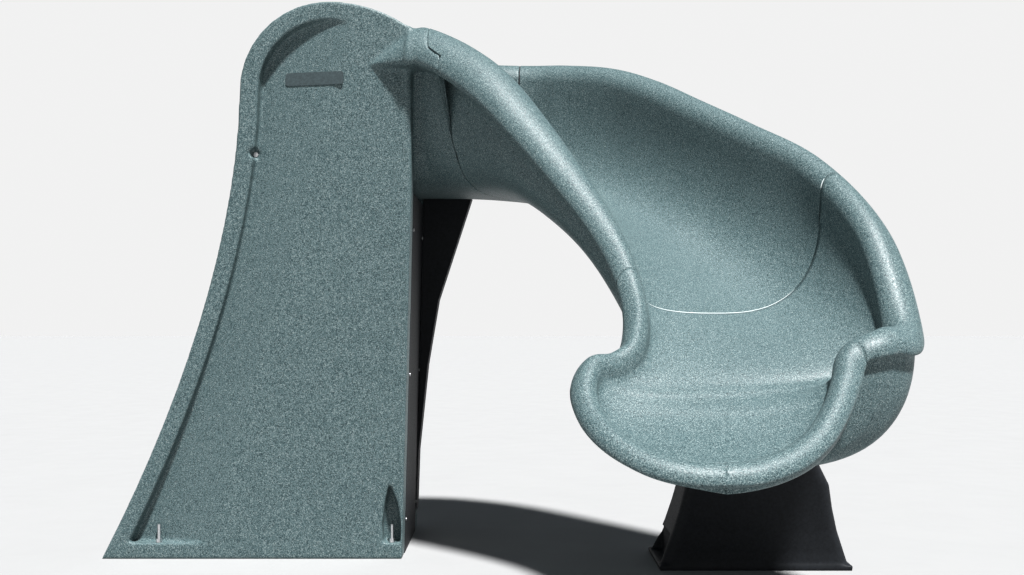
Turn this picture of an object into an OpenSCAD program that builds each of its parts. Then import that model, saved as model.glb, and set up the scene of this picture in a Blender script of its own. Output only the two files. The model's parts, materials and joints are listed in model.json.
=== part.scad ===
// Right-turn pool slide: a moulded stair tower, a two-section flume, a leg and a water feed.
// Millimetres, +Z up, the origin is on the deck under the middle of the whole slide.

/* [Tower] */
// Overall height of the side panels
tower_h = 1953; // [1900:1:2000]
// Length of a side panel at the deck, from the stair foot to the back
tower_base_l = 1053; // [1000:1:1100]
// Thickness of one side panel
panel_t = 100; // [80:1:120]
// Clear width between the two side panels
stair_w = 440; // [400:1:480]
// Depth of the recess behind the rim at the stair foot
recess_d = 60; // [40:1:70]
// Width of the rim that runs round a side panel
rim_w = 66; // [50:1:80]

/* [Stairs] */
// Height of the seat above the deck
seat_h = 1385; // [1375:1:1390]
// Depth of a tread from front to back
tread_d = 235; // [200:1:260]
// Thickness of a tread
tread_t = 46; // [35:1:60]

/* [Flume] */
// How far a rail's outer face stands out from its crest at the seat end
rail_out = 96; // [70:1:100]
// How far a rail's inner face reaches into the channel from its crest at the seat end
rail_in = 80; // [60:1:90]
// Height of a rail's rounded face at the seat end
rail_drop = 118; // [90:1:130]
// Squareness of the channel's bowl, 2 is round
bowl_k = 2.7; // [2:0.1:4]
// Width of the visible gap at the joints between sections
joint_gap = 3; // [2:0.5:6]

/* [Leg] */
// Width of the leg's foot
leg_w = 644; // [600:1:680]
// Depth of the leg's foot from front to back
leg_d = 330; // [280:1:360]
// Hole-to-hole distance of the leg's anchor holes, side to side
leg_hole_x = 584; // [570:1:590]
// Hole-to-hole distance of the leg's anchor holes, front to back
leg_hole_y = 190; // [150:1:210]
// Diameter of an anchor hole
anchor_hole_d = 14; // [10:0.5:16]

/* [Fasteners and water feed] */
// Shank diameter of the bolts
bolt_d = 10; // [8:1:12]
// Outside diameter of the water pipe
pipe_d = 26.7; // [20:0.1:34]

/* [Hidden] */

// Moves the tower's own frame so that the whole slide stands centred on the origin
place = [135, 275, 0];
// Colours of the plastic, the fasteners and the brass
shell_c = [0.42, 0.52, 0.53];
dark_c = [0.10, 0.12, 0.13];
steel_c = [0.72, 0.73, 0.75];
brass_c = [0.75, 0.60, 0.30];
pipe_c = [0.90, 0.90, 0.88];

// ---- Flume: two crest lines carry the rails, the bowl hangs between them ----
// Crest of the inner rail, then of the lip as far as its middle, one point per station
inner_crest = [[-520, 48, 1868], [-350, 48, 1868], [-290, 32, 1865], [-160, -45, 1792], [-35, -140, 1680],
               [85, -248, 1515], [198, -366, 1335], [287, -480, 1175], [340, -588, 1035], [362, -698, 900],
               [338, -805, 795], [280, -858, 748], [218, -900, 738], [194, -968, 685], [214, -1045, 612],
               [268, -1122, 552], [350, -1178, 508], [440, -1200, 488], [520, -1203, 484]];
// Crest of the outer rail, then of the lip as far as its middle
outer_crest = [[-520, 592, 1868], [-350, 592, 1868], [36, 600, 1857], [218, 540, 1845], [394, 420, 1807],
               [540, 268, 1729], [680, 98, 1622], [822, -80, 1510], [985, -300, 1365], [1088, -565, 1138],
               [1098, -778, 852], [1020, -850, 815], [930, -880, 778], [888, -950, 705], [842, -1022, 635],
               [780, -1092, 568], [698, -1150, 518], [600, -1190, 490], [520, -1203, 484]];
// Each of these holds a value for every second station, from -2 to 16
floor_z = [1385, 1385, 1300, 1130, 890, 690, 610, 540, 490, 476];
inner_bottom = [1300, 1300, 1250, 1060, 760, 560, 520, 455, 425, 412];
outer_bottom = [1300, 1300, 1200, 930, 620, 378, 355, 375, 398, 412];
inner_size = [1.2, 1.14, 1.12, 0.78, 0.5, 0.42, 0.42, 0.42, 0.42, 0.42];
outer_size = [0.6, 0.95, 0.95, 0.85, 0.72, 0.65, 0.5, 0.42, 0.42, 0.42];
inner_wall = [0.12, 0.15, 0.45, 0.6, 0.6, 0.6, 0.6, 0.6, 0.6, 0.6];
bowl_fall = [1, 1, 1, 1, 0.9, 0.75, 0.6, 0.4, 0.15, 0.06];
inner_square = [4, 4, 4, 4, 3, 2.2, 1.6, 1.5, 1.5, 1.5];
outer_square = [4, 4, 4, 3.6, 2.8, 2.1, 2, 1.9, 1.6, 1.5];
floor_side = [0.5, 0.5, 0.5, 0.45, 0.4, 0.4, 0.45, 0.5, 0.5, 0.5];

first_station = -2;
last_station = 16;
seat_start = -1;
flume_joint = 6.3;
lip_end = 15.95;

// Points on a rail's outer face and channel face, and across the bowl
outer_face_n = 6;
inner_face_n = 4;
bowl_n = 17;
rail_n = 3 + outer_face_n + inner_face_n;
top_n = 2 * rail_n + bowl_n;
skin_n = top_n - 2;
face_k = 2 / 1.7;

function at(p, i) = i < 0 ? 2 * p[0] - p[1] : i >= len(p) ? 2 * p[len(p) - 1] - p[len(p) - 2] : p[i];
function spline(p, x) =
    let(i = min(floor(x), len(p) - 2), f = x - i, a = at(p, i - 1), b = p[i], c = p[i + 1], d = at(p, i + 2))
    0.5 * (2 * b + (c - a) * f + (2 * a - 5 * b + 4 * c - d) * f * f + (3 * b - a - 3 * c + d) * f * f * f);
function crest(line, t) = spline(line, t - first_station);
function value(line, t) = spline(line, (t - first_station) / 2);
function unit(v) = v / norm(v);
// Horizontal direction out of the channel, side is 1 on the inner rail and -1 on the outer one
function outward(line, t, side) =
    let(e = 0.001, d = unit(crest(line, min(t + e, last_station)) - crest(line, t - e)),
        h = norm([d.x, d.y]))
    side * [d.y, -d.x, 0] / h;
function power(c, k) = pow(abs(c), 2 / k);
// A rail's outline: across in x, up in y, in units of the rail's size
function rail_outline(wall) = concat(
    [[wall, -1.16], [0.93, -1.08], [1, -0.98]],
    [for (i = [0:outer_face_n - 1]) let(a = 78 * (1 - i / (outer_face_n - 1)))
        [pow(sin(a), face_k), -0.93 * (1 - pow(cos(a), face_k))]],
    [for (i = [1:inner_face_n]) let(a = 90 * i / inner_face_n) [-sin(a), -(1 - cos(a))]]);
function rail(line, t, side, size, wall) =
    let(c = crest(line, t), n = outward(line, t, side), fall = value(bowl_fall, t))
    [for (p = rail_outline(wall)) p.x >= 0
        ? c + n * p.x * rail_out * size + [0, 0, p.y * rail_drop * size]
        : c + n * p.x * rail_in * size + [0, 0, p.y * rail_in * fall]];
// A bowl that hangs from a to b down to za and zb, its lowest line at the fraction mid of the way across
function bowl(a, b, za, zb, ka, kb, mid, n) = [for (i = [1:n])
    let(q = 180 * i / (n + 1), k = q < 90 ? ka : kb, u = -sign(cos(q)) * power(cos(q), k),
        v = power(sin(q), k), f = u < 0 ? mid * (1 + u) : mid + (1 - mid) * u,
        top = u < 0 ? a.z : b.z, z = za + (zb - za) * f)
    [a.x + (b.x - a.x) * f, a.y + (b.y - a.y) * f, top - (top - z) * v]];
// One closed section: over the rails and through the bowl, then back along the underside
function section(t) =
    let(ra = rail(inner_crest, t, 1, value(inner_size, t), value(inner_wall, t)),
        rb = rail(outer_crest, t, -1, value(outer_size, t), 0.6),
        f = value(floor_z, t), za = value(inner_bottom, t), zb = value(outer_bottom, t),
        upper = bowl(ra[rail_n - 1], rb[rail_n - 1], f, f, bowl_k, bowl_k, value(floor_side, t), bowl_n),
        under = bowl(ra[0], rb[0], za, zb, value(inner_square, t), value(outer_square, t), 0.5, skin_n))
    concat(ra, upper, [for (i = [rail_n - 1:-1:0]) rb[i]], [for (i = [skin_n - 1:-1:0]) under[i]]);
function sections(stations) = [for (t = stations) section(t)];
// The section at station t, slid along the flume onto the upright plane through o with the normal n
function flat_section(t, o, n) =
    let(e = 0.05, a = section(t - e), b = section(t + e))
    [for (i = [0:len(a) - 1]) let(p = (a[i] + b[i]) / 2, d = b[i] - a[i]) p + d * (((o - p) * n) / (d * n))];
// The flat section at joint j, side is -1 above the seal, 1 below it and 0 in its middle
function joint_section(j, side) =
    let(t = joints[j][0], a = crest(inner_crest, t), b = crest(outer_crest, t),
        n = unit([b.y - a.y, a.x - b.x, 0]))
    flat_section(t, a + side * n * joint_gap / 2, n);
// Triangles that close one end, from the top of a section to its underside
function end_faces(base, flip) =
    let(n = top_n + skin_n, f = [for (i = [0:top_n - 2])
        let(a = base + i, b = base + i + 1, c = base + (n - i) % n, d = base + n - i - 1)
        each (i == 0 ? [[a, b, d]] : i == top_n - 2 ? [[a, b, c]] : [[a, b, c], [b, d, c]])])
    flip ? [for (q = f) [q[2], q[1], q[0]]] : f;
// A closed loft through rings of points
module loft(rings) {
    n = top_n + skin_n;
    m = len(rings);
    points = [for (ring = rings) each ring];
    sides = [for (j = [0:m - 2], i = [0:n - 1])
        let(a = j * n + i, b = j * n + (i + 1) % n, c = a + n, d = b + n)
        each [[a, b, d], [a, d, c]]];
    ends = concat(end_faces(0, true), end_faces((m - 1) * n, false));
    polyhedron(points, concat(sides, ends), convexity = 12);
}

// ---- Side panels ----
top_left_r = 312;
top_right_r = 490;
top_right_a = 56;
flare_h = tower_h - top_left_r;
back_x = -352;
foot_x = back_x - 33 - tower_base_l;
neck_x = -955;
crown_x = neck_x + top_left_r;
ledge_h = 55;
face_slope = 0.193;
face_lean = 0.0525;
face_turn = -atan(face_slope);
face_tip = -atan(face_lean * cos(face_turn));
// Outline of the brace behind the far panel, from its top corner down its back edge
brace_outline = [[-350, 1322], [-160, 1322], [-292, 916], [-335, 660], [-371, 316], [-379, 80]];
panel_far_y = 2 * panel_t + stair_w;

// Front edge of a side panel at height z
function front_x(z) = neck_x - (neck_x - foot_x) * pow((flare_h - z) / flare_h, 1.75);
// Outline of a side panel, or of a line at a distance inside it
function panel_outline(inset) = concat(
    [for (i = [0:14]) let(z = flare_h * i / 14) [front_x(z) + inset, z]],
    [for (a = [170:-10:90]) [crown_x + (top_left_r - inset) * cos(a),
        flare_h + (top_left_r - inset) * sin(a)]],
    [for (a = [85:-5.8:top_right_a]) [crown_x + (top_right_r - inset) * cos(a),
        tower_h - top_right_r + (top_right_r - inset) * sin(a)]],
    [[back_x, 1866 - inset], [back_x, 1290], [back_x - 33, 0]]);
// Extrudes an outline of x and z from y0 to y1
module across(y0, y1) {
    translate([0, y1, 0]) rotate([90, 0, 0]) linear_extrude(y1 - y0) children();
}
// Puts children on the sloping face inside the rim, with -Y out of the face
module on_face(x, z) {
    y = recess_d - face_slope * (x - front_x(0) - rim_w) + face_lean * (z - ledge_h);
    translate([x, y, z]) rotate([face_tip, 0, face_turn]) children();
}

// Height of the top of tread i, counted from the deck
function tread_z(i) = seat_h * i / 5;
batten = 30;
back_t = 12;
bolt_r = bolt_d / 2;
hole_r = bolt_r + 0.25;
tread_nose = 95;
cleat_h = 40;
stud_y = 22;
stud_r = 6;
stud_x = [-1242, -422];
deck_bolt_at = [-906, 1421];
upstand_t = 14;
upstand_h = 66;
deck_t = 40;
head_seat = 50;

function tread_x(i) = front_x(tread_z(i)) + tread_nose;
tread_bolt_x = [50, 185];

// One side panel with its rim face on y = 0 and its inner face on y = panel_t
module side_panel() {
    difference() {
        union() {
            across(0, panel_t) polygon(panel_outline(0));
            for (i = [1:4])
                translate([tread_x(i) + 20, panel_t, tread_z(i) - tread_t - cleat_h])
                    cube([tread_d - 50, batten, cleat_h]);
            across(panel_t, panel_t + batten)
                polygon([[back_x - 33 - back_t - batten, 0], [back_x - 33 - back_t, 0],
                         [back_x - back_t, 1290], [back_x - back_t - batten, 1290]]);
        }
        // The sloping face behind the rim, down to the ledge over the foot
        intersection() {
            across(-1, recess_d + 30) intersection() {
                polygon(panel_outline(rim_w));
                translate([-2000, ledge_h]) square([2000, 2000]);
            }
            on_face(front_x(0) + rim_w, ledge_h) translate([-2000, -1000, -2000]) cube([4000, 1000, 4000]);
        }
        // Pocket for the rear anchor, with a pointed top
        across(-1, 50) polygon([[-452, ledge_h], [-392, ledge_h], [-390, 120], [-402, 195], [-430, 266],
                                [-446, 195], [-454, 120]]);
        for (x = stud_x)
            translate([x, stud_y, -1]) cylinder(r = stud_r + 1, h = ledge_h + 2, $fn = 48);
        for (i = [1:4], x = tread_bolt_x)
            translate([tread_x(i) + x, panel_t + batten / 2, tread_z(i) - tread_t - cleat_h])
                cylinder(r = hole_r, h = cleat_h + 1, $fn = 48);
        translate([deck_bolt_at.x, 0, deck_bolt_at.y]) rotate([-90, 0, 0]) {
            cylinder(r = hole_r, h = panel_t + 1, $fn = 48);
            cylinder(r = 14, h = head_seat, $fn = 48);
        }
        for (z = back_screw_z)
            back_hole(z) cylinder(r = screw_r, h = 60, center = true, $fn = 32);
        at_dowels() cylinder(r = dowel_r + 0.1, h = dowel_l, $fn = 48);
    }
}
screw_r = 3;
// Dowels that locate the seat channel on the back edges of the panels
dowel_r = 8;
dowel_l = 78;
dowel_z = [1480, 1680];
module at_dowels() {
    for (z = dowel_z)
        translate([back_x - dowel_l / 2 - 1, 75, z]) rotate([0, 90, 0]) children();
}
back_screw_z = [120, 640, 1160];
// Axis of a screw through the stair back, square to its leaning face
module back_hole(z) {
    lean = atan(33 / 1290);
    translate([back_x - 33 * (1290 - z) / 1290, panel_t + batten / 2, z])
        rotate([0, 90 + lean, 0]) children();
}
module mirrored() {
    translate([0, panel_far_y, 0]) mirror([0, 1, 0]) children();
}

// Water feed: the valve's axis and the pipe's levels
feed_x = -670;
feed_y = 607;
pipe_y = 500;
valve_z = 267;
elbow_z = 335;
cross_z = 1315;
pipe_top = 1425;
pocket = [feed_x - 70, 575, -1];
pocket_size = [180, 100, 431];
pipe_r = pipe_d / 2;
pipe_bore = pipe_r - 3.35;
pipe_hole = pipe_r + 0.25;

// Wedge that grows out of the near panel's face into the start of the inner rail
wedge_tip = [-511, 2, 1725];
module rail_wedge() {
    size = value(inner_size, seat_start);
    wall = value(inner_wall, seat_start);
    ring = [for (p = rail(inner_crest, seat_start, 1, size, wall)) [back_x, p.y, p.z]];
    n = len(ring);
    polyhedron(concat([wedge_tip], ring),
        concat([for (i = [0:n - 1]) [0, 1 + (i + 1) % n, 1 + i]], [[for (i = [1:n]) i]]), convexity = 4);
}

module near_side_panel() {
    color(shell_c) translate(place) difference() {
        union() {
            side_panel();
            rail_wedge();
        }
        at_dowels() cylinder(r = dowel_r + 0.1, h = dowel_l, $fn = 48);
    }
}

module far_side_panel() {
    color(shell_c) translate(place) difference() {
        mirrored() side_panel();
        translate(pocket) cube(pocket_size);
        translate([feed_x, feed_y, elbow_z]) rotate([90, 0, 0]) cylinder(r = pipe_hole, h = 80, $fn = 64);
        at_brace_dowels() cylinder(r = dowel_r + 0.1, h = dowel_l, $fn = 48);
    }
}

// Brace that stands against the back edge of the far panel, under the seat channel
brace_dowel_z = [960, 1200];
module at_brace_dowels() {
    for (z = brace_dowel_z)
        translate([back_x - dowel_l / 2 - 10, panel_far_y - panel_t / 2, z]) rotate([0, 90, 0]) children();
}
module tower_brace() {
    color(dark_c) translate(place) difference() {
        across(panel_far_y - panel_t, panel_far_y) polygon(brace_outline);
        at_brace_dowels() cylinder(r = dowel_r + 0.1, h = dowel_l, $fn = 48);
    }
}

// ---- Stairs ----
nose_r = 14;
groove_w = 8;
groove_d = 4;
groove_pitch = 30;
module tread(i) {
    x0 = tread_x(i);
    z1 = tread_z(i);
    color(shell_c) translate(place) difference() {
        across(panel_t, panel_t + stair_w) difference() {
            union() {
                translate([x0 + nose_r, z1 - tread_t]) square([tread_d - nose_r, tread_t]);
                translate([x0, z1 - tread_t]) square([2 * nose_r, tread_t - nose_r]);
                translate([x0 + nose_r, z1 - nose_r]) circle(r = nose_r, $fn = 48);
            }
            for (k = [1:6])
                translate([x0 + groove_pitch * k, z1 - groove_d]) square([groove_w, groove_d + 1]);
        }
        for (x = tread_bolt_x, y = [panel_t + batten / 2, panel_t + stair_w - batten / 2])
            translate([x0 + x, y, z1 - tread_t - 1]) {
                cylinder(r = hole_r, h = tread_t + 2, $fn = 48);
                translate([0, 0, tread_t - 9]) cylinder(r = 14, h = 20, $fn = 48);
            }
    }
}
module tread_1() { tread(1); }
module tread_2() { tread(2); }
module tread_3() { tread(3); }
module tread_4() { tread(4); }

module seat_deck() {
    x0 = neck_x + 50;
    length = back_x - x0 - 2;
    color(shell_c) translate(place) difference() {
        union() {
            translate([x0, panel_t, seat_h - deck_t]) cube([length, stair_w, deck_t]);
            translate([x0, panel_t, seat_h - deck_t]) cube([length, upstand_t, deck_t + upstand_h]);
            translate([x0, panel_t + stair_w - upstand_t, seat_h - deck_t])
                cube([length, upstand_t, deck_t + upstand_h]);
        }
        for (k = [1:8])
            translate([x0 + 24 * k, panel_t + upstand_t + 20, seat_h - groove_d])
                cube([groove_w, stair_w - 2 * upstand_t - 40, groove_d + 1]);
        for (y = [panel_t - 1, panel_t + stair_w - upstand_t - 1])
            translate([deck_bolt_at.x, y, deck_bolt_at.y]) rotate([-90, 0, 0])
                cylinder(r = hole_r, h = upstand_t + 2, $fn = 48);
        for (y = [pipe_y, panel_far_y - pipe_y])
            translate([feed_x, y, seat_h - deck_t - 1]) cylinder(r = pipe_hole, h = deck_t + 2, $fn = 64);
    }
}

module stair_back() {
    color(dark_c) translate(place) difference() {
        across(panel_t, panel_t + stair_w)
            polygon([[back_x - 33 - back_t, 0], [back_x - 33, 0], [back_x, 1290], [back_x - back_t, 1290]]);
        for (z = back_screw_z) {
            back_hole(z) cylinder(r = screw_r, h = 60, center = true, $fn = 32);
            mirrored() back_hole(z) cylinder(r = screw_r, h = 60, center = true, $fn = 32);
        }
    }
}

// ---- Joints between the sections: bolts in pockets each side of each seal ----
pocket_w = 44;
wall_t = 22;
pocket_l = 46;
bolt_up = 26;
// Direction across the flume at station t
function joint_angle(t) =
    let(a = crest(inner_crest, t), b = crest(outer_crest, t))
    atan2(b.y - a.y, b.x - a.x);
function joint_point(t, u) =
    let(a = crest(inner_crest, t), b = crest(outer_crest, t))
    [a.x + (b.x - a.x) * u, a.y + (b.y - a.y) * u,
     value(inner_bottom, t) * (1 - u) + value(outer_bottom, t) * u];
// Slope of the underside along the flume at station t
function joint_tilt(t, u) =
    let(a = joint_point(t - 0.3, u), b = joint_point(t + 0.3, u))
    atan2(a.z - b.z, norm([a.x - b.x, a.y - b.y]));
// Local frame of a joint bolt: X across the flume, -Y down the flume, Z up from the underside
module at_joint(j, u) {
    t = joints[j][0];
    translate(joint_point(t, u)) rotate([0, 0, joint_angle(t)]) rotate([joint_tilt(t, u), 0, 0]) children();
}
// Each joint's station and how far across its two bolts are
joints = [[0, [0.35, 0.65]], [flume_joint, [0.4, 0.6]]];
// A joint's bolt holes, and the pockets that open them from below on each side of the seal
module joint_cuts(j) {
    for (u = joints[j][1])
        at_joint(j, u) {
            for (y = [wall_t, -wall_t - pocket_l])
                translate([-pocket_w / 2, y, -90]) cube([pocket_w, pocket_l, 90 + 2 * bolt_up]);
            translate([0, 0, bolt_up]) rotate([90, 0, 0])
                cylinder(r = hole_r, h = 2 * wall_t + 2, center = true, $fn = 48);
        }
}

module seat_channel() {
    color(shell_c) translate(place) difference() {
        loft(concat([flat_section(seat_start, [back_x + 2, 0, 0], [1, 0, 0])],
                    sections([seat_start / 3]), [joint_section(0, -1)]));
        joint_cuts(0);
        at_dowels() cylinder(r = dowel_r + 0.1, h = dowel_l, $fn = 48);
        mirrored() at_dowels() cylinder(r = dowel_r + 0.1, h = dowel_l, $fn = 48);
    }
}

boss = [[650, -300, 662], [240, 90, 218]];
boss_hole_x = [668, 872];
module flume_upper() {
    color(shell_c) translate(place) difference() {
        loft(concat([joint_section(0, 1)], sections([0.5:0.5:6]), [joint_section(1, -1)]));
        joint_cuts(0);
        joint_cuts(1);
    }
}
// Post moulded into the underside of the flume, standing on the leg's saddle
module flume_post() {
    color(dark_c) translate(place) difference() {
        translate(boss[0]) cube(boss[1]);
        for (x = boss_hole_x)
            translate([x, boss[0].y + boss[1].y / 2, boss[0].z - 1])
                cylinder(r = hole_r, h = 61, $fn = 48);
    }
}

module flume_lower() {
    color(shell_c) translate(place) difference() {
        loft(concat([joint_section(1, 1)], sections([6.75:0.5:15.5]), sections([lip_end])));
        joint_cuts(1);
    }
}

// Foam seals that fill the joint gaps, with a little slack
seal_slack = 0.1;
module joint_slab(j) {
    a = crest(inner_crest, joints[j][0]);
    turn = joint_angle(joints[j][0]);
    outline = [for (p = joint_section(j, 0)) [(p - a) * [cos(turn), sin(turn), 0], p.z]];
    translate([a.x, a.y, 0]) rotate([90, 0, turn]) linear_extrude(joint_gap - seal_slack, center = true)
        polygon(outline);
}
module seat_seal() {
    color(dark_c) translate(place) difference() {
        joint_slab(0);
        joint_cuts(0);
    }
}
module flume_seal() {
    color(pipe_c) translate(place) difference() {
        joint_slab(1);
        joint_cuts(1);
    }
}

// ---- Fasteners ----
// A hex bolt along +Z with the underside of its head on z = 0, its washer included
module hex_bolt(length, r = bolt_r) {
    cylinder(r = r, h = length, $fn = 48);
    translate([0, 0, -2 * r * 0.64 - 2]) cylinder(r = 1.9 * r, h = 2 * r * 0.64, $fn = 6);
    translate([0, 0, -2]) cylinder(r = 2.2 * r, h = 2, $fn = 48);
}
module hex_nut(h, r = bolt_r) {
    difference() {
        cylinder(r = 1.9 * r, h = h, $fn = 6);
        translate([0, 0, -1]) cylinder(r = r, h = h + 2, $fn = 48);
    }
}

nut_h = 9;
module joint_bolts() {
    color(steel_c) translate(place)
        for (j = [0, 1], u = joints[j][1])
            at_joint(j, u) translate([0, wall_t, bolt_up]) rotate([90, 0, 0])
                hex_bolt(2 * wall_t + nut_h + 6);
}
module joint_nuts() {
    color(steel_c) translate(place)
        for (j = [0, 1], u = joints[j][1])
            at_joint(j, u) translate([0, -wall_t, bolt_up]) rotate([90, 0, 0]) hex_nut(nut_h);
}

module tread_bolts() {
    color(steel_c) translate(place)
        for (i = [1:4], x = tread_bolt_x, y = [panel_t + batten / 2, panel_t + stair_w - batten / 2])
            translate([tread_x(i) + x, y, tread_z(i) - 10]) rotate([180, 0, 0]) hex_bolt(62);
}

deck_bolt_l = panel_t - head_seat + upstand_t + nut_h + 5;
module deck_bolts() {
    color(steel_c) translate(place) {
        translate([deck_bolt_at.x, head_seat, deck_bolt_at.y]) rotate([-90, 0, 0]) hex_bolt(deck_bolt_l);
        mirrored() translate([deck_bolt_at.x, head_seat, deck_bolt_at.y]) rotate([-90, 0, 0])
            hex_bolt(deck_bolt_l);
    }
}
module deck_nuts() {
    color(steel_c) translate(place) {
        translate([deck_bolt_at.x, panel_t + upstand_t, deck_bolt_at.y]) rotate([-90, 0, 0]) hex_nut(nut_h);
        mirrored() translate([deck_bolt_at.x, panel_t + upstand_t, deck_bolt_at.y]) rotate([-90, 0, 0])
            hex_nut(nut_h);
    }
}

// Pan-head screws that hold the stair back to the panels' battens
module back_screw(z) {
    back_hole(z) {
        translate([0, 0, -30]) cylinder(r = screw_r - 0.05, h = 30, $fn = 32);
        cylinder(r = 2 * screw_r, h = 3.5, $fn = 32);
    }
}
module back_screws() {
    color(steel_c) translate(place)
        for (z = back_screw_z) {
            back_screw(z);
            mirrored() back_screw(z);
        }
}

module brace_dowels() {
    color(steel_c) translate(place) at_brace_dowels() cylinder(r = dowel_r, h = dowel_l, $fn = 48);
}
module seat_dowels() {
    color(steel_c) translate(place) {
        at_dowels() cylinder(r = dowel_r, h = dowel_l, $fn = 48);
        mirrored() at_dowels() cylinder(r = dowel_r, h = dowel_l, $fn = 48);
    }
}

washer_t = 2.5;
stud_top = 118;
module at_studs(z) {
    for (x = stud_x) {
        translate([x, stud_y, z]) children();
        mirrored() translate([x, stud_y, z]) children();
    }
}
module anchor_studs() {
    color(steel_c) translate(place) at_studs(0) cylinder(r = stud_r, h = stud_top, $fn = 48);
}
module anchor_washers() {
    color(steel_c) translate(place) at_studs(ledge_h) difference() {
        cylinder(r = 12, h = washer_t, $fn = 48);
        translate([0, 0, -1]) cylinder(r = stud_r, h = washer_t + 2, $fn = 48);
    }
}
module anchor_nuts() {
    color(steel_c) translate(place) at_studs(ledge_h + washer_t) hex_nut(10.5, stud_r);
}

// ---- Leg ----
leg_x = 815;
leg_y = -27;
leg_top = 650;
flange_t = 18;
saddle_t = 12;
saddle = [[640, -335], [260, 190]];
// Half width, half depth and centre of the leg at a height
leg_rows = [[flange_t, leg_w / 2 - 8, leg_d / 2 - 4, leg_x, leg_y], [60, 300, 152, 815, -38],
            [130, 275, 143, 815, -58], [210, 254, 135, 815, -84], [290, 238, 127, 815, -112],
            [400, 190, 114, 803, -152], [480, 140, 106, 790, -190], [560, 105, 100, 778, -222],
            [leg_top, 85, 98, 770, -240]];
leg_corner_n = 6;
leg_corner_r = 40;
function leg_ring(row) = [for (q = [0:3], i = [0:leg_corner_n])
    let(a = 90 * q + 90 * i / leg_corner_n, sx = q == 0 || q == 3 ? 1 : -1, sy = q < 2 ? 1 : -1)
    [row[3] + sx * (row[1] - leg_corner_r) + leg_corner_r * cos(a),
     row[4] + sy * (row[2] - leg_corner_r) + leg_corner_r * sin(a), row[0]]];
module leg_shell() {
    n = 4 * (leg_corner_n + 1);
    m = len(leg_rows);
    sides = [for (j = [0:m - 2], i = [0:n - 1])
        let(a = j * n + i, b = j * n + (i + 1) % n) each [[a, a + n, b], [b, a + n, b + n]]];
    polyhedron([for (row = leg_rows) each leg_ring(row)],
        concat(sides, [[for (i = [0:n - 1]) i]], [[for (i = [n - 1:-1:0]) (m - 1) * n + i]]), convexity = 4);
}
leg_bolt_at = [[720, -318], [820, -318], [720, -165], [820, -165]];
hand_pocket = [60, 236, 92];
module support_leg() {
    color(dark_c) translate(place) difference() {
        union() {
            leg_shell();
            translate([leg_x - leg_w / 2, leg_y - leg_d / 2, 0]) cube([leg_w, leg_d, flange_t]);
        }
        // Side pockets over the anchor holes
        for (side = [-1, 1])
            translate([leg_x + side * (leg_w / 2 - 18) - hand_pocket.x / 2, leg_y - hand_pocket.y / 2,
                       flange_t]) cube(hand_pocket);
        for (x = [-1, 1], y = [-1, 1])
            translate([leg_x + x * leg_hole_x / 2, leg_y + y * leg_hole_y / 2, -1])
                cylinder(d = anchor_hole_d, h = flange_t + 2, $fn = 48);
        for (p = leg_bolt_at)
            translate([p.x, p.y, leg_top - 50]) cylinder(r = hole_r, h = 51, $fn = 48);
    }
}

module leg_saddle() {
    color(steel_c) translate(place) difference() {
        translate([saddle[0].x, saddle[0].y, leg_top]) cube([saddle[1].x, saddle[1].y, saddle_t]);
        for (p = concat(leg_bolt_at, [for (x = boss_hole_x) [x, boss[0].y + boss[1].y / 2]]))
            translate([p.x, p.y, leg_top - 1]) cylinder(r = hole_r, h = saddle_t + 2, $fn = 48);
    }
}
// Bolts down through the saddle into the leg
module leg_bolts() {
    color(steel_c) translate(place)
        for (p = leg_bolt_at)
            translate([p.x, p.y, leg_top + saddle_t]) rotate([180, 0, 0]) hex_bolt(55);
}
// Bolts up through the saddle into the flume's boss
module saddle_bolts() {
    color(steel_c) translate(place)
        for (x = boss_hole_x)
            translate([x, boss[0].y + boss[1].y / 2, leg_top]) hex_bolt(65);
}

// ---- Badge ----
badge_w = 214;
badge_h = 46;
badge_t = 2.5;
badge_at = [-694, 1684];
module badge_plate() {
    color([0.16, 0.18, 0.19]) translate(place) on_face(badge_at.x, badge_at.y)
        rotate([90, 0, 0]) linear_extrude(badge_t) union() {
            square([badge_w - badge_h / 2, badge_h], center = true);
            square([badge_w, badge_h / 2], center = true);
            for (x = [-1, 1], y = [-1, 1])
                translate([x * (badge_w / 2 - badge_h / 4), y * badge_h / 4])
                    circle(r = badge_h / 4, $fn = 48);
        }
}

// ---- Water feed ----
module at_feed(z) {
    translate([feed_x, feed_y, z]) children();
}
tail_r = 10;
tail_bore = 7.5;
nut_bore = 13.2;
running = 0.06;
module hose_tailpiece() {
    color(brass_c) translate(place) difference() {
        union() {
            at_feed(181) cylinder(r = tail_r, h = 51, $fn = 64);
            at_feed(181) cylinder(r = nut_bore - 0.3, h = 7.8, $fn = 64);
        }
        at_feed(180) cylinder(r = tail_bore, h = 60, $fn = 64);
    }
}
module hose_washer() {
    color(dark_c) translate(place) at_feed(178) difference() {
        cylinder(r = nut_bore - 0.3, h = 3, $fn = 64);
        translate([0, 0, -1]) cylinder(r = tail_bore, h = 5, $fn = 64);
    }
}
module hose_swivel_nut() {
    color(brass_c) translate(place) difference() {
        union() {
            at_feed(165) cylinder(r = 17, h = 30, $fn = 64);
            for (a = [0:45:315])
                at_feed(168) rotate([0, 0, a]) translate([14, -2.5, 0]) cube([5.5, 5, 24]);
        }
        at_feed(164) cylinder(r = nut_bore, h = 14, $fn = 64);
        at_feed(177.9) cylinder(r = nut_bore + 0.4, h = 11.1, $fn = 64);
        at_feed(180) cylinder(r = tail_r + running, h = 20, $fn = 64);
    }
}
ball_r = 11;
stem_r = 4;
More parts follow.
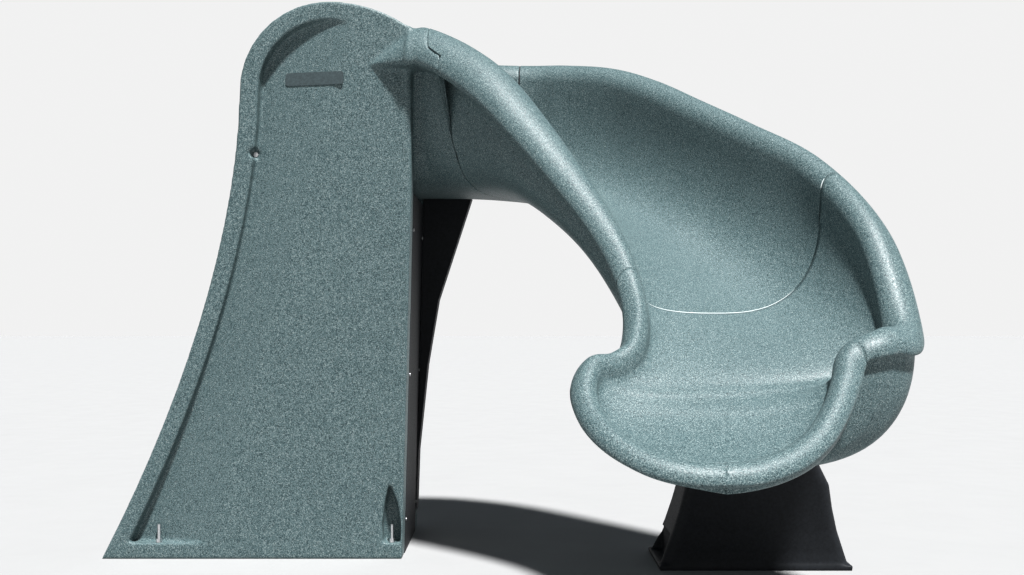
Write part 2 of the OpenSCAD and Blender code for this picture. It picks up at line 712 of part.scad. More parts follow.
module valve_body() {
    color(brass_c) translate(place) difference() {
        union() {
            at_feed(232) cylinder(r = 16, h = 70, $fn = 6);
            at_feed(valve_z - 22) cylinder(r = 17, h = 44, $fn = 64);
            at_feed(valve_z) rotate([-90, 0, 0]) cylinder(r = 8, h = 21, $fn = 48);
        }
        at_feed(231) cylinder(r = tail_bore, h = 72, $fn = 64);
        at_feed(valve_z) sphere(r = ball_r + running, $fn = 64);
        at_feed(valve_z) rotate([-90, 0, 0]) cylinder(r = stem_r + running, h = 40, $fn = 48);
    }
}
module valve_ball() {
    color(steel_c) translate(place) difference() {
        union() {
            at_feed(valve_z) sphere(r = ball_r, $fn = 64);
            at_feed(valve_z) rotate([-90, 0, 0]) cylinder(r = stem_r, h = 25, $fn = 48);
        }
        at_feed(valve_z - 20) cylinder(r = tail_bore - 1, h = 40, $fn = 64);
        at_feed(valve_z) translate([0, 14, 0]) rotate([-90, 0, 0]) cylinder(r = 1.5, h = 20, $fn = 32);
    }
}
lever_l = 54;
lever_w = 13;
lever_t = 3.5;
module valve_lever() {
    color([0.75, 0.1, 0.08]) translate(place) difference() {
        union() {
            at_feed(valve_z) translate([0, 21.5, 0]) rotate([-90, 0, 0]) cylinder(r = 8, h = 3.5, $fn = 48);
            at_feed(valve_z) translate([-lever_w / 2, 21.5, 0]) cube([lever_w, lever_t, lever_l]);
            at_feed(valve_z + lever_l) translate([0, 21.5, 0]) rotate([-90, 0, 0])
                cylinder(r = lever_w / 2, h = lever_t, $fn = 48);
        }
        at_feed(valve_z) rotate([-90, 0, 0]) cylinder(r = stem_r, h = 40, $fn = 48);
    }
}
module lever_screw() {
    color(steel_c) translate(place) at_feed(valve_z) {
        translate([0, 25, 0]) rotate([-90, 0, 0]) cylinder(r = 5.5, h = 3, $fn = 48);
        translate([0, 15, 0]) rotate([-90, 0, 0]) cylinder(r = 1.5, h = 11, $fn = 32);
    }
}

// The pipe's run at radius r: out of the valve, through the panel, up the tower and across under the seat
module pipe_run(r, end) {
    near_y = panel_far_y - pipe_y;
    at_feed(302 - end) cylinder(r = r, h = elbow_z - 302 + end, $fn = 64);
    at_feed(elbow_z) sphere(r = r, $fn = 64);
    at_feed(elbow_z) rotate([90, 0, 0]) cylinder(r = r, h = feed_y - pipe_y, $fn = 64);
    translate([feed_x, pipe_y, elbow_z]) sphere(r = r, $fn = 64);
    translate([feed_x, pipe_y, elbow_z]) cylinder(r = r, h = pipe_top - elbow_z + end, $fn = 64);
    translate([feed_x, pipe_y, cross_z]) rotate([90, 0, 0]) cylinder(r = r, h = pipe_y - near_y, $fn = 64);
    translate([feed_x, near_y, cross_z]) sphere(r = r, $fn = 64);
    translate([feed_x, near_y, cross_z]) cylinder(r = r, h = pipe_top - cross_z + end, $fn = 64);
}
module supply_pipe() {
    color(pipe_c) translate(place) difference() {
        pipe_run(pipe_r, 0);
        pipe_run(pipe_bore, 1);
    }
}
nozzle_r = 17;
module spray_nozzles() {
    color(dark_c) translate(place)
        for (y = [pipe_y, panel_far_y - pipe_y])
            translate([feed_x, y, seat_h + 8]) difference() {
                union() {
                    cylinder(r = nozzle_r, h = 62, $fn = 64);
                    translate([0, -9, 42]) cube([30, 18, 14]);
                }
                translate([0, 0, -1]) cylinder(r = pipe_r, h = pipe_top - seat_h - 7, $fn = 64);
                translate([0, 0, 20]) cylinder(r = pipe_bore, h = 34, $fn = 64);
                translate([0, -6, 46]) cube([40, 12, 5]);
            }
}
clip_z = [520, 800, 1080];
module pipe_clips() {
    color(pipe_c) translate(place)
        for (z = clip_z)
            translate([feed_x, pipe_y, z]) difference() {
                union() {
                    cylinder(r = pipe_r + 4, h = 16, $fn = 64);
                    translate([-9, 0, 0]) cube([18, panel_far_y - panel_t - pipe_y, 16]);
                }
                translate([0, 0, -1]) cylinder(r = pipe_r, h = 18, $fn = 64);
            }
}

near_side_panel();
far_side_panel();
tower_brace();
brace_dowels();
tread_1();
tread_2();
tread_3();
tread_4();
seat_deck();
stair_back();
seat_channel();
flume_upper();
flume_lower();
seat_seal();
flume_seal();
support_leg();
flume_post();
leg_saddle();
saddle_bolts();
leg_bolts();
joint_bolts();
joint_nuts();
tread_bolts();
deck_bolts();
deck_nuts();
back_screws();
seat_dowels();
anchor_studs();
anchor_washers();
anchor_nuts();
badge_plate();
hose_tailpiece();
hose_washer();
hose_swivel_nut();
valve_body();
valve_ball();
valve_lever();
lever_screw();
supply_pipe();
spray_nozzles();
pipe_clips();
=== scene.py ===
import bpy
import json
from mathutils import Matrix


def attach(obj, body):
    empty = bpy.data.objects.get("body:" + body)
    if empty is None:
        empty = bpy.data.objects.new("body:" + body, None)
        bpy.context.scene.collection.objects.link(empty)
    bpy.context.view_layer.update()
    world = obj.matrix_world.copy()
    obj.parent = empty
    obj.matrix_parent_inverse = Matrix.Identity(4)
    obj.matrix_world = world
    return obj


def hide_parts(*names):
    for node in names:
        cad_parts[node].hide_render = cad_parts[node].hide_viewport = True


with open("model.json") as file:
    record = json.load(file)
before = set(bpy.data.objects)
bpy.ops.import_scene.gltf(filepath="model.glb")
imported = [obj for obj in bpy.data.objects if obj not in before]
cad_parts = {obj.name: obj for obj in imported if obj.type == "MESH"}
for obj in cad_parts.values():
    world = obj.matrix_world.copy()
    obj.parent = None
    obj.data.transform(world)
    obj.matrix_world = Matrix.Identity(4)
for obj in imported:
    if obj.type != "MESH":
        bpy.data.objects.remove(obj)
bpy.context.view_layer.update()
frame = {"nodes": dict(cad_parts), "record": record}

import json
import math

import bmesh
import bpy
import numpy as np
from mathutils import Vector

NODES = frame["nodes"]
BODY = "slide"
PLACE = np.array([0.135, 0.275, 0.0])     # tower frame to row frame, metres
scene = bpy.context.scene

# ---------------------------------------------------------------- camera
SENSOR, FOCAL, LIFT = 36.0, 40.43, 0.0317     # mm, mm, and the shift in frame widths
EYE_BACK, EYE_HEIGHT = 4.025, 0.8365          # metres from the near panel's face, and above the deck
cam_data = bpy.data.cameras.new("camera")
cam_data.sensor_width = SENSOR
cam_data.lens = FOCAL
cam_data.shift_y = LIFT
cam_data.clip_end = 60
cam = bpy.data.objects.new("camera", cam_data)
cam.location = (PLACE[0], -EYE_BACK + PLACE[1], EYE_HEIGHT)
cam.rotation_euler = (math.radians(90), 0, 0)
scene.collection.objects.link(cam)
scene.camera = cam


# ---------------------------------------------------------------- materials
def node_tree(name):
    m = bpy.data.materials.new(name)
    m.use_nodes = True
    t = m.node_tree
    bsdf = next(n for n in t.nodes if n.type == "BSDF_PRINCIPLED")
    return m, t, bsdf


def link(t, a, b):
    t.links.new(a, b)


def noise(t, scale, detail=2.0, rough=0.5, seed=0.0):
    """Noise in object space, so it keeps its size on every piece."""
    c = t.nodes.new("ShaderNodeTexCoord")
    mp = t.nodes.new("ShaderNodeMapping")
    mp.inputs["Location"].default_value = (seed, seed * 0.7, seed * 1.3)
    n = t.nodes.new("ShaderNodeTexNoise")
    n.inputs["Scale"].default_value = scale
    n.inputs["Detail"].default_value = detail
    n.inputs["Roughness"].default_value = rough
    link(t, c.outputs["Object"], mp.inputs["Vector"])
    link(t, mp.outputs["Vector"], n.inputs["Vector"])
    return n.outputs["Fac"]


def ramp(t, fac, stops):
    """Colours by position along the value fac."""
    r = t.nodes.new("ShaderNodeValToRGB")
    e = r.color_ramp.elements
    while len(e) < len(stops):
        e.new(0.5)
    for el, (p, c) in zip(e, stops):
        el.position = p
        el.color = (*c, 1)
    link(t, fac, r.inputs["Fac"])
    return r.outputs["Color"]


def multiply(t, fac, a, b):
    """Colour a multiplied by b, by the share fac."""
    n = t.nodes.new("ShaderNodeMix")
    n.data_type = "RGBA"
    n.blend_type = "MULTIPLY"
    n.inputs[0].default_value = fac
    link(t, a, n.inputs[6])
    link(t, b, n.inputs[7])
    return n.outputs[2]


def bump(t, bsdf, parts):
    """Bumps one on the other, each a height, a strength and a distance in metres."""
    last = None
    for h, s, d in parts:
        b = t.nodes.new("ShaderNodeBump")
        b.inputs["Strength"].default_value = s
        b.inputs["Distance"].default_value = d
        link(t, h, b.inputs["Height"])
        if last:
            link(t, last, b.inputs["Normal"])
        last = b.outputs["Normal"]
    link(t, last, bsdf.inputs["Normal"])


def lin(r, g, b):
    """Linear colour from 8-bit sRGB values."""
    return tuple(((v / 255 + 0.055) / 1.055) ** 2.4 if v > 10 else v / 255 / 12.92 for v in (r, g, b))


def grey(v):
    return (v, v, v)


# grain sizes as noise scales per metre
FINE_GRAIN, COARSE_GRAIN, CLOUDS = 340, 170, 3.0
PEEL, WAVES = 260, 26


def granite(name, dark, mid, light, rough=0.5):
    """Moulded granite-look polyethylene: a mid colour with dark and pale grains and an orange-peel skin."""
    m, t, s = node_tree(name)
    grain = noise(t, FINE_GRAIN, 2.0, 0.65)
    coarse = noise(t, COARSE_GRAIN, 1.0, 0.5, 3.1)
    patch = noise(t, CLOUDS, 3.0, 0.5, 7.7)
    col = ramp(t, grain, [(0.36, dark), (0.46, mid), (0.54, mid), (0.64, light)])
    spots = ramp(t, coarse, [(0.34, grey(0.55)), (0.46, grey(1))])
    col = multiply(t, 0.55, col, spots)
    clouds = ramp(t, patch, [(0.3, (0.84, 0.86, 0.87)), (0.7, grey(1))])
    col = multiply(t, 0.30, col, clouds)
    link(t, col, s.inputs["Base Color"])
    r = ramp(t, coarse, [(0.3, grey(rough - 0.08)), (0.7, grey(rough + 0.10))])
    link(t, r, s.inputs["Roughness"])
    s.inputs["Specular IOR Level"].default_value = 0.36
    bump(t, s, [(noise(t, PEEL, 2.0, 0.6, 1.0), 0.09, 0.0012),
                (noise(t, WAVES, 2.0, 0.5, 5.0), 0.10, 0.004)])
    return m


def plain(name, col, rough, var, scale, bumps, metal=0.0, spec=0.4):
    """One colour with a mottle of the share var, varied roughness and a fine bump."""
    m, t, s = node_tree(name)
    lo = tuple(max(0.0, c * (1 - var)) for c in col)
    hi = tuple(min(1.0, c * (1 + var)) for c in col)
    mottle = noise(t, scale, 3.0, 0.6, 2.0)
    link(t, ramp(t, mottle, [(0.3, lo), (0.7, hi)]), s.inputs["Base Color"])
    wear = noise(t, scale * 2.3, 2.0, 0.5, 9.0)
    smooth, dull = grey(max(rough - 0.08, 0.02)), grey(min(rough + 0.1, 1))
    link(t, ramp(t, wear, [(0.3, smooth), (0.7, dull)]), s.inputs["Roughness"])
    s.inputs["Metallic"].default_value = metal
    s.inputs["Specular IOR Level"].default_value = spec
    bump(t, s, [(noise(t, scale * 6, 2.0, 0.5, 4.0), bumps, 0.0008)])
    return m


MAT = {
    "shell": granite("granite_shell", lin(30, 50, 55), lin(83, 102, 104), lin(138, 150, 150)),
    # near-black; on the support leg this black is painted shade, standing in for the leg's deep shadow under
    # the dish
    "dark_plastic": plain("black_plastic_and_painted_shade", (0.012, 0.014, 0.017), 0.62,
                          var=0.25, scale=90, bumps=0.2, spec=0.25),
    "steel": plain("stainless", (0.62, 0.63, 0.64), 0.30, var=0.06, metal=1.0, scale=260, bumps=0.05),
    "brass": plain("brass", (0.72, 0.50, 0.20), 0.32, var=0.10, metal=1.0, scale=160, bumps=0.06),
    # pale seal colour; on the flume joint's bead it is also a painted highlight of the lit joint edge
    "seal": plain("pale_seal_and_painted_highlight", (0.62, 0.66, 0.66), 0.75, var=0.10, scale=220, bumps=0.3),
    "rubber": plain("black_rubber", (0.02, 0.02, 0.022), 0.8, var=0.2, scale=220, bumps=0.3),
    "pipe": plain("white_pipe", (0.70, 0.70, 0.67), 0.38, var=0.05, scale=40, bumps=0.05),
    "badge": plain("badge_print", (0.055, 0.075, 0.08), 0.5, var=0.25, scale=140, bumps=0.08),
    "lever": plain("red_vinyl", (0.50, 0.02, 0.015), 0.4, var=0.12, scale=90, bumps=0.1),
}
slot_of = {s["node"]: s["material_slot"] for s in frame["record"]["subparts"]}
for name, ob in NODES.items():
    ob.data.materials.clear()
    ob.data.materials.append(MAT[slot_of[name]])


def finish_piece(ob, slot, *nodes):
    """A visual piece on the slide's body, in place of the named CAD nodes."""
    ob.data.materials.clear()
    ob.data.materials.append(MAT[slot])
    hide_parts(*nodes)
    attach(ob, BODY)


# ---------------------------------------------------------------- flume shape, same lines as the CAD
# Rail crests in the tower frame, millimetres, one point for each station from FIRST to END
FIRST, END = -2, 16
INNER = np.array([
    (-520, 48, 1868), (-350, 48, 1868), (-290, 32, 1865), (-160, -45, 1792), (-35, -140, 1680),
    (85, -248, 1515), (198, -366, 1335), (287, -480, 1175), (340, -588, 1035), (362, -698, 900),
    (338, -805, 795), (280, -858, 748), (218, -900, 738), (194, -968, 685), (214, -1045, 612),
    (268, -1122, 552), (350, -1178, 508), (440, -1200, 488), (520, -1203, 484)], float)
OUTER = np.array([
    (-520, 592, 1868), (-350, 592, 1868), (36, 600, 1857), (218, 540, 1845), (394, 420, 1807),
    (540, 268, 1729), (680, 98, 1622), (822, -80, 1510), (985, -300, 1365), (1088, -565, 1138),
    (1098, -778, 852), (1020, -850, 815), (930, -880, 778), (888, -950, 705), (842, -1022, 635),
    (780, -1092, 568), (698, -1150, 518), (600, -1190, 490), (520, -1203, 484)], float)
# Values at every second station; bot, size, wall and k have an inner and an outer side
LISTS = {
    "floor": [1385, 1385, 1300, 1130, 890, 690, 610, 540, 490, 476],
    "bot_i": [1300, 1300, 1250, 1060, 760, 560, 520, 455, 425, 412],
    "bot_o": [1300, 1300, 1200, 930, 620, 378, 355, 375, 398, 412],
    "size_i": [1.2, 1.14, 1.12, 0.78, 0.5, 0.42, 0.42, 0.42, 0.42, 0.42],
    "size_o": [0.6, 0.95, 0.95, 0.85, 0.72, 0.65, 0.5, 0.42, 0.42, 0.42],
    "wall_i": [0.12, 0.15, 0.45, 0.6, 0.6, 0.6, 0.6, 0.6, 0.6, 0.6],
    "fall": [1, 1, 1, 1, 0.9, 0.75, 0.6, 0.4, 0.15, 0.06],
    "k_i": [4, 4, 4, 4, 3, 2.2, 1.6, 1.5, 1.5, 1.5],
    "k_o": [4, 4, 4, 3.6, 2.8, 2.1, 2, 1.9, 1.6, 1.5],
    "side": [0.5, 0.5, 0.5, 0.45, 0.4, 0.4, 0.45, 0.5, 0.5, 0.5],
}
RAIL_OUT, RAIL_IN, RAIL_DROP = 96.0, 80.0, 118.0     # a rail's reaches and drop at size 1, mm
BOWL_K = 2.7                                         # squareness of the channel
JOINT, LIP_END, LAST = 6.3, 15.95, 15.9999           # stations
DISH_START, LIP_GIVE = 6.4, 0.45
# The dish's floor, mm: how far out of the flume, and how high. It takes over from station EVEN, in EVEN_IN.
EVEN, EVEN_IN = 7, 2
DISH_FALL = [
    (631, 788), (791, 679), (854, 643), (890, 619), (959, 575), (1033, 536), (1107, 507),
    (1164, 489), (1195, 482), (1203, 476)]
LIP_BLEND, LIP_FRONT = 15.0, np.array([0.06, -0.998, 0.0])     # both rails turn to one face at the lip


def spline(keys, x):
    """Catmull-Rom curve through the keys, straight past its ends."""
    keys = np.asarray(keys, float)
    n = len(keys)
    x = min(max(x, 0), n - 1 - 1e-9)
    i = int(x)
    f = x - i
    b, c = keys[i], keys[i + 1]
    a = keys[i - 1] if i > 0 else 2 * b - c
    d = keys[i + 2] if i + 2 < n else 2 * c - b
    square, cube = 2 * a - 5 * b + 4 * c - d, 3 * b - a - 3 * c + d
    return 0.5 * (2 * b + (c - a) * f + square * f * f + cube * f ** 3)


def val(name, t):
    return float(spline(LISTS[name], (t - FIRST) / 2))


def crest(line, t):
    return spline(line, t - FIRST)


def ease(w):
    return w * w * (3 - 2 * w)


def outward(line, t, side):
    """Horizontal direction out of the channel, side is 1 on the inner rail and -1 on the outer one."""
    d = (crest(line, min(t + 1e-3, END)) - crest(line, t - 1e-3))[:2]
    d /= np.linalg.norm(d)
    n = np.array([side * d[1], -side * d[0], 0])
    w = ease(max(0.0, t - LIP_BLEND) / (END - LIP_BLEND))
    n = n * (1 - w) + LIP_FRONT * w
    return n / np.linalg.norm(n)


ROUND_N, FACE_N, CREST_N = 6, 16, 10          # points round the lower edge, up the face, over the crest
WALL_DROP, FACE_DROP, FACE_K, FACE_FROM = -1.16, 0.93, 2 / 1.7, 72
EDGE_IN, EDGE_LOW = 0.93, -1.09               # where the lower edge starts to round
EDGE_BEND = ((1.0, -1.06), (1.0, -0.90))      # its corner, and where it meets the face


def rail_outline(wall):
    """Fractions of a rail's reach and drop, from the undercut round the face and over the crest."""
    pts = [(wall, WALL_DROP)]
    a = np.array((max(wall, EDGE_IN), EDGE_LOW))
    b, c = np.array(EDGE_BEND)
    for f in np.linspace(0, 1, ROUND_N):
        pts.append(tuple((1 - f) ** 2 * a + 2 * f * (1 - f) * b + f * f * c))
    for q in np.linspace(FACE_FROM, 0, FACE_N):
        q = math.radians(q)
        pts.append((math.sin(q) ** FACE_K, -FACE_DROP * (1 - math.cos(q) ** FACE_K)))
    for q in np.linspace(0, 90, CREST_N + 1)[1:]:
        q = math.radians(q)
        pts.append((-math.sin(q), -(1 - math.cos(q))))
    return pts


def rail(line, t, side, size, wall):
    """Points of one rail at station t, from its undercut to the channel."""
    c, n, fall = crest(line, t), outward(line, t, side), val("fall", t)
    out = []
    for r, h in rail_outline(wall):
        if r >= 0:
            out.append(c + n * r * RAIL_OUT * size + np.array([0, 0, h * RAIL_DROP * size]))
        else:
            out.append(c + n * r * RAIL_IN * size + np.array([0, 0, h * RAIL_IN * fall]))
    return np.array(out)


def bowl(a, b, za, zb, ka, kb, mid, n):
    """A line of n points that hangs from a to b, its lowest point at the fraction mid."""
    out = []
    for i in range(1, n + 1):
        q = math.pi * i / (n + 1)
        c, s = math.cos(q), math.sin(q)
        k = ka if c > 0 else kb
        u = -math.copysign(abs(c) ** (2 / k), c)
        v = abs(s) ** (2 / k)
        f = mid * (1 + u) if u < 0 else mid + (1 - mid) * u
        top = a[2] if u < 0 else b[2]
        z = za + (zb - za) * f
        out.append((a[0] + (b[0] - a[0]) * f, a[1] + (b[1] - a[1]) * f, top - (top - z) * v))
    return np.array(out)


def floor_height(t):
    """The channel's floor; from the turn on it falls evenly with the way out of the flume."""
    way_out = -(crest(INNER, t)[1] + crest(OUTER, t)[1]) / 2
    f = val("floor", t)
    if way_out < DISH_FALL[0][0]:
        return f
    even = float(np.interp(way_out, *zip(*DISH_FALL)))
    return f + (even - f) * ease(min((t - EVEN) / EVEN_IN, 1.0))


BOWL_N, SKIN_N, OUTER_WALL = 48, 60, 0.6


def ring(t):
    """One section: rail, channel, rail and underside, with the points in a rail and in the channel."""
    ra = rail(INNER, t, 1, val("size_i", t), val("wall_i", t))
    rb = rail(OUTER, t, -1, val("size_o", t), OUTER_WALL)
    f = floor_height(t)
    up = bowl(ra[-1], rb[-1], f, f, BOWL_K, BOWL_K, val("side", t), BOWL_N)
    un = bowl(ra[0], rb[0], val("bot_i", t), val("bot_o", t), val("k_i", t), val("k_o", t), 0.5, SKIN_N)
    return np.vstack([ra, up, rb[::-1], un[::-1]]), len(ra), BOWL_N


SEAM_FADE = 2.0                     # stations over which the step dies out
CREST_BACK, STEP_BACK = 11, 23      # points back from a rail's end to its crest, and to the step
SEAM_SLANT, SEAM_STEP, SEAM_DRIFT = 0.4, 0.70, 0.08
SEAM_WALL, SEAM_FLAT = 0.62, 0.8    # the seam at the undercut, and under the flume
TURN_IN, TURN_OUT = 0.15, 0.6       # where across the underside the seam gets level, and leaves


def seam_offsets(nr, nb, n):
    """How far down the flume the seat joint steps at each point of a section, in stations."""
    crest_i, step_i = nr - CREST_BACK, nr - STEP_BACK
    off = np.zeros(n)
    for i in range(crest_i + 1):
        slant = SEAM_SLANT * (crest_i - i) / (crest_i - step_i)
        off[i] = slant if i >= step_i else SEAM_STEP + SEAM_DRIFT * i / step_i
    off[0] = SEAM_WALL
    skin = n - 2 * nr - nb
    for k in range(skin):
        u = (k + 1) / (skin + 1)
        level = SEAM_WALL + (SEAM_FLAT - SEAM_WALL) * min(u / TURN_IN, 1)
        off[n - 1 - k] = level if u < TURN_OUT else SEAM_FLAT * (1 - u) / (1 - TURN_OUT)
    return off


def stepped_ring(t):
    """A section whose points slide down the flume, so that the seat joint keeps its stepped line."""
    base, nr, nb = ring(t)
    fade = max(0.0, 1 - t / SEAM_FADE) if t >= 0 else max(0.0, 1 + t)
    if fade == 0:
        return base, nr, nb
    shift = seam_offsets(nr, nb, len(base)) * fade
    steps = {q: ring(q)[0] for q in np.unique(np.round(t + shift, 3))}
    return np.array([steps[round(t + d, 3)][i] for i, d in enumerate(shift)]), nr, nb


def to_row(p):
    """Tower millimetres to row metres."""
    return np.asarray(p) / 1000 + PLACE


def mesh_object(name, verts, faces):
    """A smooth-shaded object with its faces turned outwards."""
    me = bpy.data.meshes.new(name)
    me.from_pydata([tuple(v) for v in verts], [], faces)
    me.validate()
    bm = bmesh.new()
    bm.from_mesh(me)
    bmesh.ops.recalc_face_normals(bm, faces=bm.faces)
    bm.to_mesh(me)
    bm.free()
    me.polygons.foreach_set("use_smooth", [True] * len(me.polygons))
    ob = bpy.data.objects.new(name, me)
    scene.collection.objects.link(ob)
    return ob


def shell(name, stations):
    """A loft through the sections, each end closed by a cap with its own points."""
    rings = []
    for t in stations:
        r, nr, nb = stepped_ring(t)
        rings.append(to_row(r))
    n = len(rings[0])
    verts = list(np.vstack(rings))
    faces = [(j * n + i, j * n + (i + 1) % n, (j + 1) * n + (i + 1) % n, (j + 1) * n + i)
             for j in range(len(rings) - 1) for i in range(n)]
    top = 2 * nr + nb
    for r in (rings[0], rings[-1]):
        base = len(verts)
        verts += list(r)
        up = [base + i for i in range(top)]
        low = [base] + [base + n - 1 - i for i in range(n - top)] + [base + top - 1]
        # match the upper and lower lines by their fraction of the way across
        m = max(len(up), len(low)) - 1
        pairs = [(up[round(k * (len(up) - 1) / m)], low[round(k * (len(low) - 1) / m)])
                 for k in range(m + 1)]
        for (a, b), (c, d) in zip(pairs[:-1], pairs[1:]):
            f = []
            for v in (a, c, d, b):
                if v not in f:
                    f.append(v)
            if len(f) > 2:
                faces.append(tuple(f))
    return mesh_object(name, verts, faces)


CAP_WELD, LIP_WELD = 1e-5, 4e-4     # metres


def weld_caps(ob, dist):
    """Join the caps to the skin."""
    bm = bmesh.new()
    bm.from_mesh(ob.data)
    bmesh.ops.remove_doubles(bm, verts=bm.verts, dist=dist)
    bmesh.ops.recalc_face_normals(bm, faces=bm.faces)
    bm.to_mesh(ob.data)
    bm.free()


def apply_modifiers(ob):
    """Swap the object's mesh for the one its modifiers make."""
    dg = bpy.context.evaluated_depsgraph_get()
    me = bpy.data.meshes.new_from_object(ob.evaluated_get(dg))
    old = ob.data
    ob.modifiers.clear()
    ob.data = me
    bpy.data.meshes.remove(old)


def copy_node(name):
    """A loose copy of a CAD node, to be moulded into a skin."""
    src = NODES[name]
    ob = bpy.data.objects.new("tmp_" + name, src.data.copy())
    scene.collection.objects.link(ob)
    return ob


def joined(name, obs):
    """One object from several, at the origin."""
    bm = bmesh.new()
    for o in obs:
        bm.from_mesh(o.data)
    me = bpy.data.meshes.new(name)
    bm.to_mesh(me)
    bm.free()
    for o in obs:
        bpy.data.objects.remove(o)
    ob = bpy.data.objects.new(name, me)
    scene.collection.objects.link(ob)
    return ob


def mould(ob, voxel, rounds, kept):
    """A moulded skin with soft edges: remesh, smooth, and keep the share kept of the faces."""
    m = ob.modifiers.new("remesh", "REMESH")
    m.mode = "VOXEL"
    m.voxel_size = voxel
    m.use_smooth_shade = True
    s = ob.modifiers.new("smooth", "SMOOTH")
    s.factor = 0.5
    s.iterations = rounds
    d = ob.modifiers.new("decimate", "DECIMATE")
    d.ratio = kept
    apply_modifiers(ob)
    ob.data.polygons.foreach_set("use_smooth", [True] * len(ob.data.polygons))


RIM_POINTS, FADE_POINTS = 2, 6      # channel points that hold still by each rail, and the fade after them


def soft_weights(stations, nr, nb, n):
    """How much each point of the lower flume gives: the dish's floor and the lip."""
    out = []
    for t in stations:
        along = min(max(t - DISH_START, 0.0), 1.0)
        lip = LIP_GIVE * min(max((t - LIP_BLEND) / (END - LIP_BLEND), 0.0), 1.0)
        for i in range(n):
            from_rail = min(i - nr - RIM_POINTS, nr + nb - 1 - RIM_POINTS - i)
            across = min(max(from_rail / FADE_POINTS, 0.0), 1.0)
            out.append(max(along * across, lip))
    return out


def soften(ob, rounds):
    """Smooth the points of the vertex group soft, by their weights."""
    m = ob.modifiers.new("soften", "SMOOTH")
    m.factor = 0.5
    m.iterations = rounds
    m.vertex_group = "soft"
    apply_modifiers(ob)
    ob.vertex_groups.clear()


SIDES, TIP = 8, 0.08                # a bead's sides, and the share of its radius at the ends


def tube(name, paths, radius):
    """Round beads along paths, thin at both ends."""
    verts, faces = [], []
    turn = np.linspace(0, 2 * math.pi, SIDES, False)
    for path in paths:
        base, m = len(verts), len(path)
        for j, p in enumerate(path):
            d = path[min(j + 1, m - 1)] - path[max(j - 1, 0)]
            d /= np.linalg.norm(d)
            a = np.cross(d, (0, 0, 1))
            a /= np.linalg.norm(a)
            b = np.cross(a, d)
            r = radius * (TIP + (1 - TIP) * math.sin(math.pi * j / (m - 1)) ** 0.5)
            verts += [p + r * (a * math.cos(q) + b * math.sin(q)) for q in turn]
        faces += [(base + j * SIDES + i, base + j * SIDES + (i + 1) % SIDES,
                   base + (j + 1) * SIDES + (i + 1) % SIDES, base + (j + 1) * SIDES + i)
                  for j in range(m - 1) for i in range(SIDES)]
        last = base + (m - 1) * SIDES
        faces += [tuple(base + i for i in range(SIDES)), tuple(last + i for i in range(SIDES))]
    return mesh_object(name, verts, faces)


# ---------------------------------------------------------------- flume: two skins, seat seal and joint bead
HALF_SEAT = 3 / 500                 # half the seat joint's gap, in stations
GASKET_INSET = 0.008                # of the way from the skin to the middle
BEAD = 0.0016                       # metres
UPPER_STEP, LOWER_STEP, SEAT_SECTIONS = 0.07, 0.05, 26
LAST_STATIONS = [15.97, 15.985, LAST]


def seat_gasket():
    """The dark seal in the seat joint, a little below the skins on both sides."""
    rings = []
    for t in (-HALF_SEAT, HALF_SEAT):
        r = to_row(stepped_ring(t)[0])
        rings.append(r + (r.mean(axis=0) - r) * GASKET_INSET)
    n = len(rings[0])
    faces = [(i, (i + 1) % n, n + (i + 1) % n, n + i) for i in range(n)]
    return mesh_object("seat_gasket", np.vstack(rings), faces)


upper_stations = list(np.arange(HALF_SEAT, JOINT - 0.02, UPPER_STEP)) + [JOINT]
upper = shell("flume_upper_skin", upper_stations)
finish_piece(upper, "shell", "flume_upper")

joint_ring, nr, nb = ring(JOINT)
lower_stations = list(np.arange(JOINT, LIP_END, LOWER_STEP)) + LAST_STATIONS
lower = shell("flume_lower_skin", lower_stations)
group = lower.vertex_groups.new(name="soft")
for i, w in enumerate(soft_weights(lower_stations, nr, nb, len(joint_ring))):
    if w > 0:
        group.add([i], w, "REPLACE")
weld_caps(lower, LIP_WELD)
soften(lower, rounds=60)
finish_piece(lower, "shell", "flume_lower")

finish_piece(seat_gasket(), "rubber", "seat_seal")
# painted highlight: the pale bead runs only on the channel's floor and at the foot of the outer rail, where
# the joint's edge catches the light
joint_ring = to_row(joint_ring)
FLOOR_FROM, FLOOR_TO, RAIL_FROM, RAIL_TO = 6, 36, 1, 6     # points counted from the rails' ends
floor_line = joint_ring[nr + FLOOR_FROM:nr + FLOOR_TO]
rail_line = joint_ring[nr + nb + RAIL_FROM:nr + nb + RAIL_TO]
finish_piece(tube("joint_bead_painted_highlight", [floor_line, rail_line], BEAD), "seal", "flume_seal")

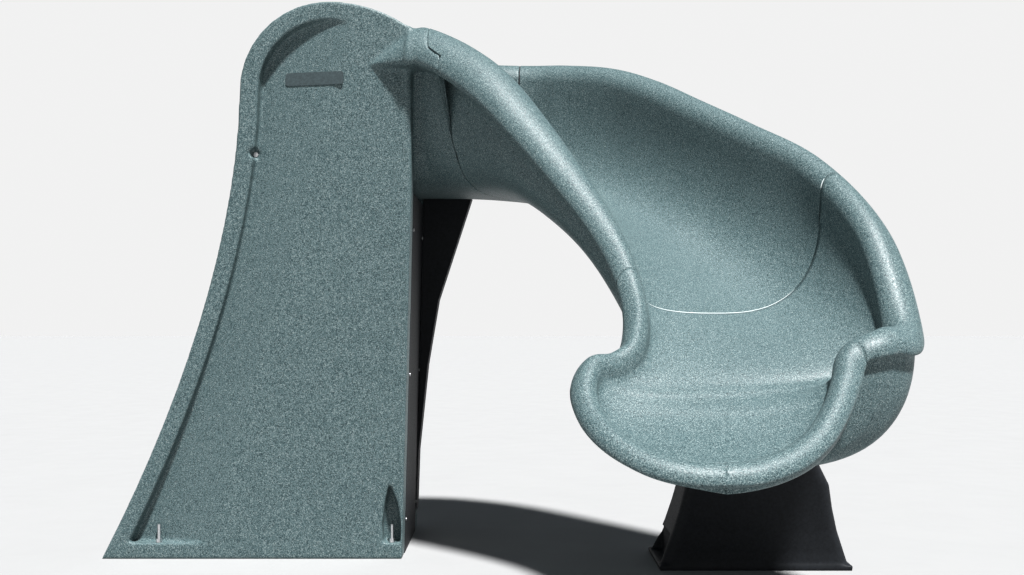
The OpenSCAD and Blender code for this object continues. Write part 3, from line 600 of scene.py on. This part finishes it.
# ---------------------------------------------------------------- tower and leg as soft mouldings
SEAT_START = -1.12
TOWER_VOXEL, LEG_VOXEL = 0.006, 0.005     # metres
seat = shell("seat_tmp", list(np.linspace(SEAT_START, -HALF_SEAT, SEAT_SECTIONS)))
weld_caps(seat, CAP_WELD)
tower = joined("near_panel_and_seat", [copy_node("near_side_panel"), seat])
mould(tower, TOWER_VOXEL, rounds=10, kept=0.35)
finish_piece(tower, "shell", "near_side_panel", "seat_channel")
far = joined("far_panel_skin", [copy_node("far_side_panel")])
mould(far, TOWER_VOXEL, rounds=5, kept=0.35)
finish_piece(far, "shell", "far_side_panel")
leg = joined("leg_skin", [copy_node("support_leg")])
mould(leg, LEG_VOXEL, rounds=4, kept=0.4)
# the leg's near-black is painted shade for its shadow under the dish
finish_piece(leg, "dark_plastic", "support_leg")

# rounded edges on CAD nodes, widths in metres
BEVELS = {"tread_1": 0.003, "tread_2": 0.003, "tread_3": 0.003, "tread_4": 0.003, "seat_deck": 0.003,
          "leg_saddle": 0.0015, "flume_post": 0.004, "badge_plate": 0.0008, "spray_nozzles": 0.001}
for name, width in BEVELS.items():
    b = NODES[name].modifiers.new("bevel", "BEVEL")
    b.width = width
    b.segments = 2
    b.limit_method = "ANGLE"
    b.angle_limit = math.radians(40)

# ---------------------------------------------------------------- floor and light
FLOOR_HALF = 60.0     # metres
me = bpy.data.meshes.new("floor")
me.from_pydata([(x * FLOOR_HALF, y * FLOOR_HALF, 0) for x, y in ((-1, -1), (1, -1), (1, 1), (-1, 1))],
               [], [(0, 1, 2, 3)])
floor = bpy.data.objects.new("floor", me)
scene.collection.objects.link(floor)
me.materials.append(plain("floor_pale", grey(0.32), 0.9, var=0.01, scale=3, bumps=0.0))


def soft_sky():
    """A studio dome: pale round the horizon, dim overhead, so the key light makes the shadows."""
    world = bpy.data.worlds.new("world")
    scene.world = world
    world.use_nodes = True
    t = world.node_tree
    bg = next(n for n in t.nodes if n.type == "BACKGROUND")
    c = t.nodes.new("ShaderNodeTexCoord")
    sep = t.nodes.new("ShaderNodeSeparateXYZ")
    link(t, c.outputs["Generated"], sep.inputs[0])
    dome = ramp(t, sep.outputs["Z"], [(0.28, grey(0.90)), (0.36, (0.05, 0.07, 0.09))])
    link(t, dome, bg.inputs["Color"])
    bg.inputs["Strength"].default_value = 1.0


soft_sky()
TO_SUN = Vector((0.22, -0.36, 0.90))     # high, in front and a little to the right
key = bpy.data.lights.new("key", "SUN")
key.energy = 9.2
key.angle = math.radians(5)
key_ob = bpy.data.objects.new("key", key)
key_ob.rotation_euler = TO_SUN.to_track_quat("Z", "Y").to_euler()
scene.collection.objects.link(key_ob)

scene.view_settings.view_transform = "Standard"
scene.view_settings.gamma = 0.85
